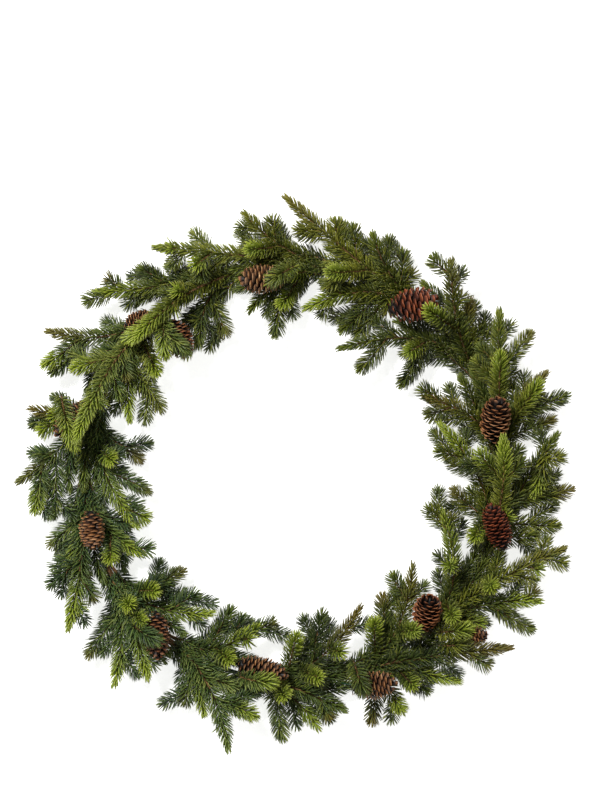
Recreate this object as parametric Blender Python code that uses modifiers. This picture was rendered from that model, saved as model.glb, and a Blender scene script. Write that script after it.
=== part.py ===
"""Fresh evergreen wreath, lying on its back: a clamp ring, spruce sprays and wired cones.

Metres, +Z up, +Y towards twelve o'clock. The origin is the ring's centre on the
surface that the wreath lies on. Clock angles run anticlockwise from +X.
"""
import math

import bmesh
import bpy
import numpy as np
from mathutils import Vector

# ---- driving dimensions -------------------------------------------------------
RING_RADIUS = 0.2286            # 18 inch ring, which dresses to a 24 inch wreath
RING_WIRE = 0.0022              # from the wire's centre to its flats
RING_SIDES = 8
RING_SPANS = 42                 # straight spans round the ring, one centred on twelve o'clock
CLAMPS = 14                     # pairs of prongs crimped over the bundles
PRONG_WIRE = 0.0008
PRONG_SHIFT = 0.7               # degrees past the corner between two of the ring's spans
STEM_WIRE = 0.0018              # radius of a spray's woody stem at its cut end
GAP = 0.00035                   # between pieces that touch
WELD = 5e-6                     # vertices closer than this become one
SEAT_ANGLES = {"out": 30.0, "top": 90.0, "in": 150.0}   # where a stem lies against the ring
STEM_TAIL = 0.011               # of cut stem behind its clamp
STEM_LEAD = 0.014               # of stem held along the ring past its clamp

BLADE_HALF_WIDTH = 0.0075       # a shoot's body of needles
BLADE_FLATNESS = 0.43           # its thickness over its width
BLADE_SWELL = ((0.0, 0.28), (0.3, 1.0), (0.76, 0.95), (1.0, 0.22))   # along it, share of width
FORK_ANGLE = 42.0               # between a stem and the chord of its side shoot, degrees
SHOOT_REACH = 0.062             # longest side shoot that a fork is chosen for
FORK_TRIES = 5

LEADER_HEIGHT = {"out": 0.024, "top": 0.042, "in": 0.027}   # wished height of a stem's tip
SIDE_RISE = 0.004               # wished rise of a side shoot above its fork
FRONT_HEIGHT = 0.066            # wished height of the front face's shoots over the ring
FRONT_FALL = 0.36               # how much lower it is for each metre inside or outside the ring
HEIGHT_STEP = 0.003
LOWEST_TIP, HIGHEST_TIP = 0.007, 0.098
BUNDLE_TOP = 0.0125             # foliage that crosses the ring stays above this
LAYER_GAP = 0.0006              # least gap between foliage of two sprays
SAMPLE_STEP = 0.0026

CONE_HEIGHT = 0.049             # of a cone's middle above the surface
PICK_WIRE = 0.0008              # the wire that carries a cone
PICK_DROP = 0.006               # its last, upright stretch beside the ring

# Each spray: the clamp that holds it, its seat on the ring, and the tips of its shoots as
# clock angle / reach in mm, the leader first. A star marks a shoot of the front face.
SPRAYS = (
    (0, "out", "22/300 12/295 16/315 18/288 21/289*"),
    (0, "top", "39/288 31/304 31/261* 33/234"),
    (0, "in", "31/163 24/155 22/185 35/166"),
    (1, "out", "45/273 36/282 41/236*"),
    (1, "top", "54/290 58/278 47/270 52/229*"),
    (1, "in", "71/143 58/130 62/165 47/179* 39/148"),
    (2, "out", "72/278 64/274 59/259 68/239"),
    (2, "top", "92/303 81/283 77/281 90/266 81/221*"),
    (2, "in", "87/178* 72/161 66/162 81/210 59/201"),
    (3, "out", "101/291 95/283 102/248*"),
    (3, "top", "122/290 119/280* 116/249* 96/221"),
    (3, "in", "106/181 98/148 95/180* 91/217*"),
    (4, "out", "138/294* 127/282 134/296 141/296"),
    (4, "top", "141/222* 123/236* 127/218*"),
    (4, "in", "127/169 116/165 124/195 134/176*"),
    (5, "out", "150/312 157/297* 158/287"),
    (5, "top", "172/235* 161/220* 155/266* 151/208"),
    (5, "in", "163/185* 155/156 144/181*"),
    (6, "out", "182/302 189/284* 176/283 191/267"),
    (6, "top", "166/297 171/280* 167/272*"),
    (6, "in", "200/177* 198/163* 188/156 176/164 176/195*"),
    (7, "out", "205/271* 202/284 197/280 207/253"),
    (7, "top", "215/296* 205/294 213/271* 213/254"),
    (7, "in", "209/184* 198/183 206/218* 209/172"),
    (8, "out", "230/304* 222/304 222/259 229/281"),
    (8, "top", "235/273* 219/225* 225/226* 235/255"),
    (8, "in", "241/173* 232/164 222/157 223/176 221/192*"),
    (9, "out", "250/282* 245/281 239/246"),
    (9, "top", "257/307 254/284 262/266* 256/241"),
    (9, "in", "258/166* 246/158 264/161 256/185* 252/211*"),
    (10, "out", "276/281* 268/295 275/261 265/250"),
    (10, "top", "283/263 279/269 268/240* 266/225*"),
    (10, "in", "298/160 283/151 272/171* 286/199* 278/221*"),
    (11, "out", "309/292* 295/286* 287/290 302/283 300/265*"),
    (11, "top", "322/302 316/299 312/263 307/242 302/226"),
    (11, "in", "324/161 315/151 307/162 300/179* 309/213*"),
    (12, "out", "333/305* 327/315 322/267* 317/265 335/294"),
    (12, "top", "345/308 342/315 339/290* 335/260* 331/245*"),
    (12, "in", "347/165* 347/148 330/195* 346/180 318/233*"),
    (13, "out", "9/293 4/297 357/308 349/300 358/281 354/263*"),
    (13, "top", "11/230* 8/200* 4/252 350/240* 346/278"),
    (13, "in", "20/167* 12/185 10/156 355/173 340/206*"),
)

# Each cone: clock angle and reach in mm of its stalk end and of its tip, the height of each
# end over the middle in mm, and its width in mm.
CONES = (
    ((106, 219), (92, 212), (0, 0), 32),
    ((60, 204), (50, 248), (3, -3), 37),
    ((9, 218), (21, 238), (-12, 12), 33),
    ((352, 214), (340, 244), (0, 0), 29),
    ((310, 220), (319, 197), (-11, 11), 31),
    ((313, 254), (321, 274), (-17, -11), 24),
    ((285, 240), (297, 252), (0, 0), 30),
    ((253, 213), (269, 219), (0, 0), 28),
    ((225, 208), (234, 249), (-2, 2), 28),
    ((190, 222), (201, 231), (3, -3), 28),
    ((160, 230), (171, 262), (0, 0), 28),
    ((128, 214), (133, 170), (0, 0), 31),
    ((139, 244), (131, 224), (-12, -5), 26),
)
CONE_ROWS = 4                   # bands of scales modelled on a cone
CONE_SIDES = 8
CONE_SWELL = 0.42               # how far from the stalk end a cone is widest
SCALE_RELIEF = 0.86             # groove between two bands over the band's radius

COLLECTION = "evergreen_wreath"
MATERIALS = {                   # colour (linear), roughness, metallic
    "ring_wire": ((0.030, 0.075, 0.040), 0.45, 0.3),
    "foliage": ((0.055, 0.100, 0.035), 0.6, 0.0),
    "cone": ((0.190, 0.075, 0.030), 0.65, 0.0),
}


# ---- scene and meshes -----------------------------------------------------------
def clear_scene():
    for obj in list(bpy.data.objects):
        bpy.data.objects.remove(obj)
    collection = bpy.data.collections.new(COLLECTION)
    bpy.context.scene.collection.children.link(collection)
    return collection


def material(name):
    colour, roughness, metallic = MATERIALS[name]
    made = bpy.data.materials.new(name)
    made.use_nodes = True
    shader = made.node_tree.nodes["Principled BSDF"]
    shader.inputs["Base Color"].default_value = (*colour, 1.0)
    shader.inputs["Roughness"].default_value = roughness
    shader.inputs["Metallic"].default_value = metallic
    return made


def flat_profile():
    """The diamond section of a shoot's body, one unit to each side."""
    curve = bpy.data.curves.new("shoot_profile", "CURVE")
    curve.dimensions = "2D"
    spline = curve.splines.new("POLY")
    spline.points.add(3)
    corners = ((1, 0), (0, BLADE_FLATNESS), (-1, 0), (0, -BLADE_FLATNESS))
    for point, (x, y) in zip(spline.points, corners):
        point.co = (x, y, 0.0, 1.0)
    spline.use_cyclic_u = True
    profile = bpy.data.objects.new("shoot_profile", curve)
    profile.hide_render = True
    return profile


def tube(points, radii, profile=None):
    """A tapered tube through the points as a mesh object, square or with a flat profile."""
    curve = bpy.data.curves.new("tube", "CURVE")
    curve.dimensions = "3D"
    curve.twist_mode = "Z_UP"
    curve.use_fill_caps = True
    if profile:
        curve.bevel_mode = "OBJECT"
        curve.bevel_object = profile
    else:
        curve.bevel_depth = 1.0
        curve.bevel_resolution = 0
    spline = curve.splines.new("POLY")
    spline.points.add(len(points) - 1)
    for point, place, radius in zip(spline.points, points, radii):
        point.co = (*place, 1.0)
        point.radius = radius
    return mesh_object(bpy.data.objects.new("tube", curve))


def mesh_object(source):
    """The evaluated mesh of an object as a new object, welded and outward; the source goes."""
    bpy.context.scene.collection.objects.link(source)
    graph = bpy.context.evaluated_depsgraph_get()
    mesh = bpy.data.meshes.new_from_object(source.evaluated_get(graph))
    made = bpy.data.objects.new(source.name, mesh)
    made.matrix_world = source.matrix_world
    bpy.data.objects.remove(source)
    shape = bmesh.new()
    shape.from_mesh(mesh)
    bmesh.ops.remove_doubles(shape, verts=shape.verts, dist=WELD)
    bmesh.ops.recalc_face_normals(shape, faces=shape.faces)
    if shape.calc_volume(signed=True) < 0:
        bmesh.ops.reverse_faces(shape, faces=shape.faces)
    shape.to_mesh(mesh)
    shape.free()
    return made


def united(name, pieces, collection, look):
    """One closed body from overlapping mesh objects, named and in the part's collection."""
    body = pieces[0]
    for piece in pieces[1:]:
        bpy.context.scene.collection.objects.link(piece)
        union = body.modifiers.new("union", "BOOLEAN")
        union.operation = "UNION"
        union.solver = "EXACT"
        union.object = piece
    made = mesh_object(body)
    for piece in pieces[1:]:
        bpy.data.objects.remove(piece)
    made.name = name
    made.data.name = name
    made.data.materials.clear()
    made.data.materials.append(look)
    collection.objects.link(made)
    return made


# ---- places on the ring -----------------------------------------------------------
def polar(clock, reach, height=0.0):
    turn = math.radians(clock)
    return np.array((reach * math.cos(turn), reach * math.sin(turn), height))


def along_ring(clock):
    turn = math.radians(clock)
    return np.array((-math.sin(turn), math.cos(turn), 0.0))


def beside_ring(clock, angle, distance):
    """A point at an angle round the ring's wire, from the outer side over its top."""
    turn = math.radians(angle)
    half = math.pi / RING_SPANS
    off_middle = math.radians(clock) % (2 * half) - half
    chord = math.cos(half) / math.cos(off_middle)
    reach = (RING_RADIUS + distance * math.cos(turn)) * chord
    return polar(clock, reach, RING_WIRE + distance * math.sin(turn))


def clamp_clock(clamp):
    return 360.0 * clamp / CLAMPS


def seat_point(clamp, seat, along):
    clock = clamp_clock(clamp) + math.degrees(along / RING_RADIUS)
    return beside_ring(clock, SEAT_ANGLES[seat], RING_WIRE + STEM_WIRE + GAP)


# ---- paths ---------------------------------------------------------------------------
def bent(start, control, end, share):
    return (1 - share) ** 2 * start + 2 * share * (1 - share) * control + share**2 * end


def leader_path(clamp, seat, tip):
    """Start, control and end of a stem's free stretch: it leaves its seat along the ring."""
    start = seat_point(clamp, seat, STEM_LEAD)
    ahead = along_ring(clamp_clock(clamp) + math.degrees(STEM_LEAD / RING_RADIUS))
    control = start + ahead * 0.45 * np.linalg.norm((tip - start)[:2])
    control[2] = start[2] + 0.62 * (tip[2] - start[2])
    return start, control, tip


def fork_shares(leader, tip):
    """Where on the leader a side shoot to this tip could fork off, the most natural first."""
    forks = []
    for share in np.arange(0.14, 0.87, 0.03):
        place = bent(*leader, share)
        ahead = (bent(*leader, share + 0.01) - place)[:2]
        chord = (tip - place)[:2]
        length = np.linalg.norm(chord)
        angle = math.degrees(math.acos(np.clip(ahead @ chord / np.linalg.norm(ahead) / length, -1, 1)))
        forks.append((abs(angle - FORK_ANGLE) + 900 * max(0.0, length - SHOOT_REACH), share))
    return [share for _, share in sorted(forks)[:FORK_TRIES]]


def side_path(leader, share, tip):
    """Start, control and end of a side shoot: it leaves steeply and curves forward."""
    start = bent(*leader, share)
    ahead = bent(*leader, share + 0.01) - start
    chord = tip - start
    ahead *= np.linalg.norm(chord[:2]) / np.linalg.norm(ahead[:2])
    across = chord[:2] - ahead[:2] * (ahead[:2] @ chord[:2]) / (ahead[:2] @ ahead[:2])
    control = start + 0.45 * chord
    control[:2] += 0.10 * across
    return start, control, tip


def blade_points(path, first=0.0):
    """Centres and half-widths of a shoot's body from a share of its path to its tip."""
    shares = [first + (1 - first) * share for share, _ in BLADE_SWELL]
    return [bent(*path, share) for share in shares], [BLADE_HALF_WIDTH * swell for _, swell in BLADE_SWELL]


def stem_points(clamp, seat, path):
    """Centres and radii of a spray's woody stem, from its cut end to inside its leader's body."""
    held = [seat_point(clamp, seat, -STEM_TAIL), seat_point(clamp, seat, 0.0)]
    free = [bent(*path, share) for share in (0.0, 0.14, 0.32, 0.55)]
    radii = [STEM_WIRE * taper for taper in (1.0, 1.0, 1.0, 0.95, 0.9, 0.75)]
    return held + free, radii


# ---- layering: every spray finds a height of its own ------------------------------------
def samples(points, widths, heights, owner):
    """Points every few millimetres along a polyline, each with a half-width and half-height."""
    found = []
    for i in range(len(points) - 1):
        span = np.linalg.norm(points[i + 1] - points[i])
        steps = max(1, math.ceil(span / SAMPLE_STEP))
        for share in np.arange(steps + 1) / steps:
            mix = (1 - share, share)
            place = mix[0] * points[i] + mix[1] * points[i + 1]
            width = mix[0] * widths[i] + mix[1] * widths[i + 1]
            height = mix[0] * heights[i] + mix[1] * heights[i + 1]
            found.append((*place, width, height, owner))
    return np.array(found)


def around(some, placed):
    """Those of the placed samples that belong to others and lie about these in plan."""
    reach = 3 * BLADE_HALF_WIDTH
    low, high = some[:, :2].min(0) - reach, some[:, :2].max(0) + reach
    inside = (placed[:, :2] > low).all(1) & (placed[:, :2] < high).all(1)
    return placed[inside & (placed[:, 5] != some[0, 5])]


def clash(some, placed):
    """How many pairs of samples come closer than the layer gap, each taken as a flat oval."""
    apart = np.hypot(some[:, None, 0] - placed[None, :, 0], some[:, None, 1] - placed[None, :, 1])
    above = some[:, None, 2] - placed[None, :, 2]
    width = some[:, None, 3] + placed[None, :, 3] + LAYER_GAP
    height = some[:, None, 4] + placed[None, :, 4] + LAYER_GAP
    return int(((apart / width) ** 2 + (above / height) ** 2 < 1).sum())


def over_bundle(some):
    """How many samples that cross the ring's band of stems and prongs dip into it."""
    crossing = np.abs(np.hypot(some[:, 0], some[:, 1]) - RING_RADIUS) < some[:, 3] + 0.009
    return int((crossing & (some[:, 2] - some[:, 4] < BUNDLE_TOP)).sum())


def body_samples(points, widths, owner):
    heights = [width * BLADE_FLATNESS for width in widths]
    return samples(points, widths, heights, owner)


def leader_samples(clamp, seat, path, owner):
    stem, radii = stem_points(clamp, seat, path)
    blade = body_samples(*blade_points(path, 0.25), owner)
    return np.vstack((samples(stem, radii, radii, owner), blade)), blade


def wished_heights(wish):
    """Heights to try, the wished one first and then ever further from it."""
    yield wish
    for step in range(1, 31):
        for height in (wish - step * HEIGHT_STEP, wish + step * HEIGHT_STEP):
            if LOWEST_TIP <= height <= HIGHEST_TIP:
                yield height


def settled(tip, wish, owner, placed, path_to, samples_of):
    """The path with the first height of its tip at which it clears everything placed."""
    fewest, nearby = None, None
    for height in wished_heights(wish):
        path = path_to(np.array((tip[0], tip[1], height)))
        every, crossing = samples_of(path, owner)
        if nearby is None:
            nearby = around(every, placed)
        count = clash(every, nearby) + over_bundle(crossing)
        if fewest is None or count < fewest[0]:
            fewest = (count, path, every)
        if not count:
            break
    return fewest


def front_height(tip):
    """The front face is a low dome over the ring."""
    return FRONT_HEIGHT - FRONT_FALL * abs(math.hypot(tip[0], tip[1]) - RING_RADIUS)


def tips_of(text):
    """The tips of a spray, each as its place in plan and whether it is on the front face."""
    found = []
    for word in text.split():
        clock, reach = word.rstrip("*").split("/")
        found.append((polar(float(clock), float(reach) / 1000), word.endswith("*")))
    return found


def place_leaders(placed):
    leaders = []
    for owner, (clamp, seat, text) in enumerate(SPRAYS):
        tip, front = tips_of(text)[0]
        wish = front_height(tip) if front and seat == "top" else LEADER_HEIGHT[seat]
        count, path, found = settled(
            tip, wish, owner, placed,
            lambda place: leader_path(clamp, seat, place),
            lambda route, mark: leader_samples(clamp, seat, route, mark),
        )
        if count:
            print(f"leader {clamp} {seat}: {count} clashes left")
        leaders.append(path)
        placed = np.vstack((placed, found))
    return leaders, placed


def side_samples(path, owner):
    blade = body_samples(*blade_points(path), owner)
    return blade, blade


def place_sides(leaders, placed):
    """The side shoots of every spray; one that finds no clear height is left out."""
    sides = [[] for _ in SPRAYS]
    dropped = 0
    for owner, (clamp, seat, text) in enumerate(SPRAYS):
        for tip, front in tips_of(text)[1:]:
            for share in fork_shares(leaders[owner], tip):
                fork = bent(*leaders[owner], share)
                wish = front_height(tip) if front else fork[2] + SIDE_RISE
                count, path, found = settled(
                    tip, wish, owner, placed,
                    lambda place: side_path(leaders[owner], share, place), side_samples,
                )
                if not count:
                    break
            if count:
                print(f"side shoot of {clamp} {seat} near {tip.round(3)}: left out, {count} clashes")
                dropped += 1
                continue
            sides[owner].append(path)
            placed = np.vstack((placed, found))
    print("side shoots:", sum(map(len, sides)), "left out:", dropped)
    return sides, placed


# ---- cones and their picks ------------------------------------------------------------
def cone_ends(cone):
    (stalk, tip, lifts, _) = cone
    ends = []
    for (clock, reach), lift in zip((stalk, tip), lifts):
        ends.append(polar(clock, reach / 1000, CONE_HEIGHT + lift / 1000))
    return ends


def cone_radius(cone, share):
    """An egg-shaped outline, widest nearer the stalk end."""
    swell = share / CONE_SWELL if share < CONE_SWELL else (1 - share) / (1 - CONE_SWELL)
    return cone[3] / 2000 * math.sqrt(max(0.0, 1 - (1 - swell) ** 2.2))


def cone_samples(cone, owner):
    stalk, tip = cone_ends(cone)
    shares = np.linspace(0.0, 1.0, 9)
    radii = [cone_radius(cone, share) for share in shares]
    return samples([stalk + share * (tip - stalk) for share in shares], radii, radii, owner)


def pick_points(cone, clock, side):
    """The pick's route: out of the cone near its stalk end, then down beside the ring."""
    stalk, tip = cone_ends(cone)
    foot = beside_ring(clock, 0.0, side * (RING_WIRE + PICK_WIRE + GAP))
    knee = foot + np.array((0, 0, PICK_DROP))
    foot[2] = RING_WIRE * 0.7
    return [stalk + 0.3 * (tip - stalk), knee, foot]


def pick_samples(points, owner):
    thick = [PICK_WIRE] * len(points)
    return samples(points, thick, [PICK_WIRE + SAMPLE_STEP / 2] * len(points), owner)


def place_picks(placed):
    """Each pick takes the nearest stretch of the ring that its route reaches clear of stems."""
    picks = []
    for number, cone in enumerate(CONES):
        owner = len(SPRAYS) + number
        stalk, tip = cone_ends(cone)
        hold = stalk + 0.3 * (tip - stalk)
        home = math.degrees(math.atan2(hold[1], hold[0]))
        best = None
        for turn in sorted(np.arange(-16.0, 16.1, 0.5), key=abs):
            for side in (1, -1):
                points = pick_points(cone, home + turn, side)
                found = pick_samples(points, owner)
                near_clamp = abs((home + turn) % (360 / CLAMPS) - 180 / CLAMPS) > 180 / CLAMPS - 3.5
                count = clash(found, around(found, placed)) + (99 if near_clamp else 0)
                if best is None or count < best[0]:
                    best = (count, points, found)
            if best[0] == 0:
                break
        if best[0]:
            print(f"pick {number + 1}: {best[0]} clashes left")
        picks.append(best[1])
        placed = np.vstack((placed, best[2]))
    return picks, placed


def cone_profile(cone):
    """The turned outline from tip to stalk end, stepped into bands of scales."""
    stalk, tip = cone_ends(cone)
    length = float(np.linalg.norm(tip - stalk))
    points = [(0.0, length)]
    for row in range(CONE_ROWS, 0, -1):
        edge = row / (CONE_ROWS + 0.6)
        groove = edge - 0.35 / CONE_ROWS
        points.append((cone_radius(cone, edge), edge * length))
        points.append((cone_radius(cone, groove) * SCALE_RELIEF, groove * length))
    points.append((0.0, 0.0))
    return points


def turned(name, profile, sides, closed=False):
    """A profile of (radius, height) points turned round Z, as a mesh object."""
    outline = bpy.data.meshes.new(name)
    edges = [(i, i + 1) for i in range(len(profile) - 1)]
    edges += [(len(profile) - 1, 0)] if closed else []
    outline.from_pydata([(x, 0.0, z) for x, z in profile], edges, [])
    body = bpy.data.objects.new(name, outline)
    screw = body.modifiers.new("turned", "SCREW")
    screw.steps = screw.render_steps = sides
    screw.use_merge_vertices = True
    screw.merge_threshold = WELD
    return mesh_object(body)


def cone_body(cone):
    """A turned cone as a mesh object, its axis from the stalk end to the tip."""
    stalk, tip = cone_ends(cone)
    body = turned("cone", cone_profile(cone), CONE_SIDES)
    body.rotation_mode = "QUATERNION"
    body.rotation_quaternion = Vector((tip - stalk).tolist()).to_track_quat("Z", "Y")
    body.location = stalk
    return body


# ---- pieces ---------------------------------------------------------------------------
def make_ring(collection, look):
    """The ring's wire with a flat underside, and a pair of crimped prongs at each clamp."""
    corners = [math.pi * (2 * corner + 1) / RING_SIDES for corner in range(RING_SIDES)]
    wire = RING_WIRE / math.cos(math.pi / RING_SIDES)
    section = [(RING_RADIUS + wire * math.cos(turn), RING_WIRE + wire * math.sin(turn)) for turn in corners]
    ring = turned("ring", section, RING_SPANS, closed=True)
    prongs = []
    for clamp in range(CLAMPS):
        prongs += [prong(clamp_clock(clamp) + PRONG_SHIFT, side) for side in (0, 1)]
    return united("ring", [ring, *prongs], collection, look)


def prong(clock, side):
    """One prong: out of the ring's flank, round the bundle and in over its top."""
    reach = RING_WIRE + 2 * STEM_WIRE + GAP + 2 * PRONG_WIRE
    route = ((-14, 0.6 * RING_WIRE), (-4, reach), (30, reach), (58, reach), (86, reach))
    points = [beside_ring(clock, 180 - angle if side else angle, distance) for angle, distance in route]
    return tube(points, [PRONG_WIRE] * len(points))


def make_sprays(leaders, sides, collection, look):
    profile = flat_profile()
    for (clamp, seat, _), leader, shoots in zip(SPRAYS, leaders, sides):
        pieces = [tube(*stem_points(clamp, seat, leader)), tube(*blade_points(leader, 0.25), profile)]
        pieces += [tube(*blade_points(shoot), profile) for shoot in shoots]
        united(f"spray_{clamp:02d}_{seat}", pieces, collection, look)
    bpy.data.objects.remove(profile)


def make_cones(picks, collection, look):
    for number, (cone, route) in enumerate(zip(CONES, picks), 1):
        pick = tube(route, [PICK_WIRE] * len(route))
        united(f"cone_{number:02d}", [cone_body(cone), pick], collection, look)


def main():
    collection = clear_scene()
    placed = np.vstack([cone_samples(cone, len(SPRAYS) + i) for i, cone in enumerate(CONES)])
    leaders, placed = place_leaders(placed)
    picks, placed = place_picks(placed)
    sides, placed = place_sides(leaders, placed)
    make_ring(collection, material("ring_wire"))
    make_sprays(leaders, sides, collection, material("foliage"))
    make_cones(picks, collection, material("cone"))


main()
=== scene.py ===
# %% [markdown]
# # A fresh evergreen wreath
#
# A florist makes this wreath from a wire ring, bunches of spruce sprays and a handful of
# wired cones. The ring lies on the table, its prongs are crimped over one bunch after
# another, all running the same way round, and the cones are pushed in last.
#
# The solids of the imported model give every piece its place. This script gives each of them
# its looks: tens of thousands of needles on their twigs, the scales of the cones, and the
# green wire that carries it all.

# %% Load the frame
import math

import bpy
import numpy as np
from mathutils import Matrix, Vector


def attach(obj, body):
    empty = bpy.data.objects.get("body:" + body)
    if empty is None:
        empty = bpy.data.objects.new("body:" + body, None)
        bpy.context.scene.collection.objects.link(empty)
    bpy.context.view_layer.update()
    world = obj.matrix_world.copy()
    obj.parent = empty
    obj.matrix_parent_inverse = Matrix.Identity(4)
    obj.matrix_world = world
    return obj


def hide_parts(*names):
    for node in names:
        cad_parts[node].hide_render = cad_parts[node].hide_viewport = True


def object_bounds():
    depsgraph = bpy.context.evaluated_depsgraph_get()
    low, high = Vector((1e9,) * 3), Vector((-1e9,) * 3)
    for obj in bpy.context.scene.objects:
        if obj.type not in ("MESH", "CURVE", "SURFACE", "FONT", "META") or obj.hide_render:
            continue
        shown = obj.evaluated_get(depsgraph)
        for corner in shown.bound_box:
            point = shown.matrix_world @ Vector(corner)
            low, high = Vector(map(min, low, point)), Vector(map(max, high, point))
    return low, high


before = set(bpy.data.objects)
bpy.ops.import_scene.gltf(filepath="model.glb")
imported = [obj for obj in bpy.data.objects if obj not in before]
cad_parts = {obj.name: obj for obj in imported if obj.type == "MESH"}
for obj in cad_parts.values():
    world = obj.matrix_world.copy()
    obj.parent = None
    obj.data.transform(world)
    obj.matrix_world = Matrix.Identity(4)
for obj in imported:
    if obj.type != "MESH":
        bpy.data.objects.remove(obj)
cad_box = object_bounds()
MM = 0.001
sides = [round(side / MM) for side in cad_box[1] - cad_box[0]]
print("solids:", len(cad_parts), "box:", sides, "mm")

# %% [markdown]
# ## Camera, table and light
#
# The wreath lies on a white table and is seen from straight above. A long lens at two and
# a half metres keeps the perspective as flat as it is in a catalogue picture. The optical
# axis stands a little beyond the wreath's middle, which leaves white space above it.
#
# The colours here are chosen as hex values, which are meant for a screen, so the plain
# "Standard" view shows them as they are.

# %% Camera
WREATH_LEVEL = 40 * MM              # the height that the framing is worked out for
VIEW_HEIGHT = 868 * MM              # of table seen from top to bottom at that height
LENS, SENSOR = 100.0, 36.0

camera = bpy.data.objects.new("camera", bpy.data.cameras.new("camera"))
camera.data.lens, camera.data.sensor_width = LENS, SENSOR
camera.location = (7.6 * MM, 80.3 * MM, WREATH_LEVEL + VIEW_HEIGHT * LENS / SENSOR)
bpy.context.scene.collection.objects.link(camera)
bpy.context.scene.camera = camera
bpy.context.scene.view_settings.view_transform = "Standard"
print("camera height:", round(camera.location.z, 3), "m")

# %% [markdown]
# Two small helpers serve every material. `linear` turns a hex colour into the linear
# numbers that a shader works in, and `add` puts a node into a tree with its settings and
# links in one call. The scale of a noise texture is how many of its patches fit in a metre,
# so each one below is named with the size in millimetres that it stands for.


# %% Helpers for materials
def linear(colour):
    """A "#rrggbb" screen colour as linear RGBA."""
    shares = (int(colour[i : i + 2], 16) / 255 for i in (1, 3, 5))
    return (*(s / 12.92 if s <= 0.04045 else ((s + 0.055) / 1.055) ** 2.4 for s in shares), 1.0)


def add(tree, kind, settings=None, **inputs):
    """A node of a kind with its settings and links.

    Settings are the node's own values, with "stops" for the (place, hex colour) pairs of a
    ramp in rising order. Inputs are numbers, colours or sockets to link.
    """
    node = tree.nodes.new(kind)
    for name, value in (settings or {}).items():
        if name != "stops":
            setattr(node, name, value)
            continue
        while len(node.color_ramp.elements) < len(value):
            node.color_ramp.elements.new(1.0)
        for element, (place, colour) in zip(node.color_ramp.elements, value):
            element.position = place
            element.color = linear(colour)
    for name, value in inputs.items():
        key = int(name[1:]) if name[0] == "i" and name[1:].isdigit() else name.replace("_", " ")
        if isinstance(value, bpy.types.NodeSocket):
            tree.links.new(value, node.inputs[key])
        else:
            node.inputs[key].default_value = value
    return node


def new_material(name):
    """A material with its tree and its Principled shader."""
    made = bpy.data.materials.new(name)
    made.use_nodes = True
    return made, made.node_tree, made.node_tree.nodes["Principled BSDF"]


MIX = {"data_type": "RGBA"}
MULTIPLY = {"data_type": "RGBA", "blend_type": "MULTIPLY"}

# %% [markdown]
# The table is white high-pressure laminate with a fine pressed texture, which scatters light
# evenly. A soft lamp hangs above the far left corner, a weak one fills from the right, and
# the white room does the rest. The glow of the laminate stands for a table lit from below,
# as product tables are, and keeps the shadows very faint.


# %% Table and lights
TABLE_GRAINS, GRAIN_DEPTH = 900.0, 0.1 * MM     # grains in a metre, each about 1.1 mm across
TABLE_GLOW = 0.78
TABLE_SIDE = 12.0
TABLE_LEVEL = -0.4 * MM             # just under the solids, so that faces don't coincide


def make_table():
    laminate, tree, shader = new_material("white_laminate")
    grain = add(tree, "ShaderNodeTexNoise", Scale=TABLE_GRAINS, Detail=2.0).outputs["Fac"]
    bump = add(tree, "ShaderNodeBump", Strength=0.05, Distance=GRAIN_DEPTH, Height=grain)
    tree.links.new(bump.outputs["Normal"], shader.inputs["Normal"])
    shader.inputs["Base Color"].default_value = linear("#fbfbfa")
    shader.inputs["Roughness"].default_value = 0.6
    shader.inputs["Emission Color"].default_value = (1.0, 1.0, 1.0, 1.0)
    shader.inputs["Emission Strength"].default_value = TABLE_GLOW
    bpy.ops.mesh.primitive_plane_add(size=TABLE_SIDE, location=(0, 0, TABLE_LEVEL))
    table = bpy.context.object
    table.name = "table"
    table.data.materials.append(laminate)


def make_light(name, place, size, power):
    """A round lamp that faces the wreath's middle."""
    lamp = bpy.data.lights.new(name, "AREA")
    lamp.shape, lamp.size, lamp.energy = "DISK", size, power
    holder = bpy.data.objects.new(name, lamp)
    holder.location = place
    holder.rotation_mode = "QUATERNION"
    holder.rotation_quaternion = (-Vector(place)).to_track_quat("-Z", "Y")
    bpy.context.scene.collection.objects.link(holder)


make_table()
make_light("key", (-1.0, 1.2, 2.3), 0.5, 76.0)
make_light("fill", (1.6, -0.9, 2.0), 1.6, 7.0)
world = bpy.context.scene.world or bpy.data.worlds.new("room")
bpy.context.scene.world = world
world.use_nodes = True
world.node_tree.nodes["Background"].inputs["Color"].default_value = (1.0, 1.0, 1.0, 1.0)
world.node_tree.nodes["Background"].inputs["Strength"].default_value = 0.20

# %% [markdown]
# ## Where every shoot grows
#
# The sprays are set in clamps, three to a clamp. Each row names its clamp, its seat on the
# ring, and where the tips of its shoots end: clock angle and reach in millimetres, the
# leader first. Clock angles are degrees from three o'clock, counted up towards twelve. A
# star marks new growth on the front face. The solids hold the same shoots as plain bodies,
# so each height is read from them.

# %% The arrangement
RING_RADIUS, RING_WIRE, RING_SPANS = 228.6 * MM, 2.2 * MM, 42
STEM_WIRE, GAP = 1.8 * MM, 0.35 * MM
CLAMPS = 14
SEAT_ANGLES = {"out": 30.0, "top": 90.0, "in": 150.0}
STEM_TAIL, STEM_LEAD = 11 * MM, 14 * MM
BODY_HALF_WIDTH = 7.5 * MM

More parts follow.
